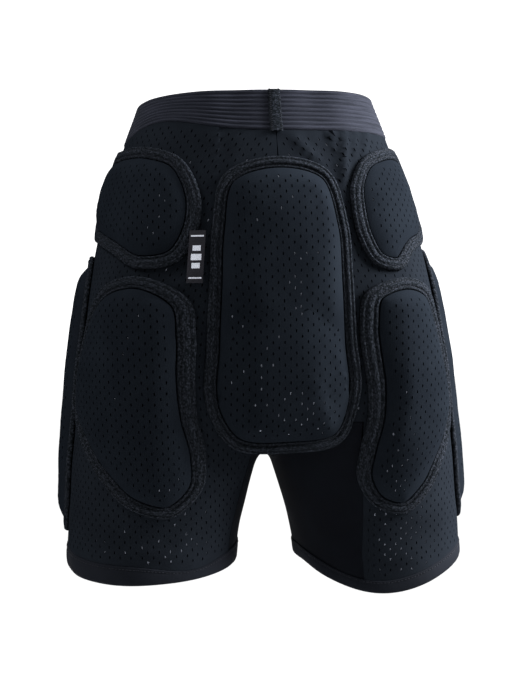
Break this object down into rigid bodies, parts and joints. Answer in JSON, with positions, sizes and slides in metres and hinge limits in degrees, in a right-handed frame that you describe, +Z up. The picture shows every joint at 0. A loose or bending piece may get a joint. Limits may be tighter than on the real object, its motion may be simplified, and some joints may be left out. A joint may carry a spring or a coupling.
{
  "type": "pair of padded hip protector shorts",
  "caption": "Close-fitting protective shorts of perforated stretch mesh, with thick sewn-on foam pads over the tailbone, hips, thighs and sides, and a broad elastic waist",
  "frame": {"origin": "centre of the waist opening, in the plane of the elastic's top edge", "axes": "+Z up, out of the waist opening; the garment's back, with the tailbone pad, faces -Y and its front faces +Y; +X is the wearer's right"},
  "size_m": [0.3784, 0.2458, 0.4371],
  "materials": {
    "mesh_cloth": "matte perforated knit, near black",
    "plain_cloth": "matte smooth stretch cloth",
    "elastic": "ribbed woven elastic",
    "knit_binding": "coarse knit tape",
    "pad_cover": "perforated knit over foam",
    "woven_label": "smooth woven tape"
  },
  "bodies": {
    "root": {"mesh_panel_left": "mesh_cloth", "mesh_panel_right": "mesh_cloth", "inner_leg_panel_left": "plain_cloth", "inner_leg_panel_right": "plain_cloth", "leg_hem_left": "plain_cloth", "leg_hem_right": "plain_cloth", "waistband": "elastic", "waistband_join": "knit_binding", "label": "woven_label", "tailbone_pad": "pad_cover", "tailbone_binding": "knit_binding", "hip_pad_left": "pad_cover", "hip_binding_left": "knit_binding", "hip_pad_right": "pad_cover", "hip_binding_right": "knit_binding", "thigh_pad_left": "pad_cover", "thigh_binding_left": "knit_binding", "thigh_pad_right": "pad_cover", "thigh_binding_right": "knit_binding", "side_pad_left": "pad_cover", "side_binding_left": "knit_binding", "side_pad_right": "pad_cover", "side_binding_right": "knit_binding"}
  },
  "joints": []
}
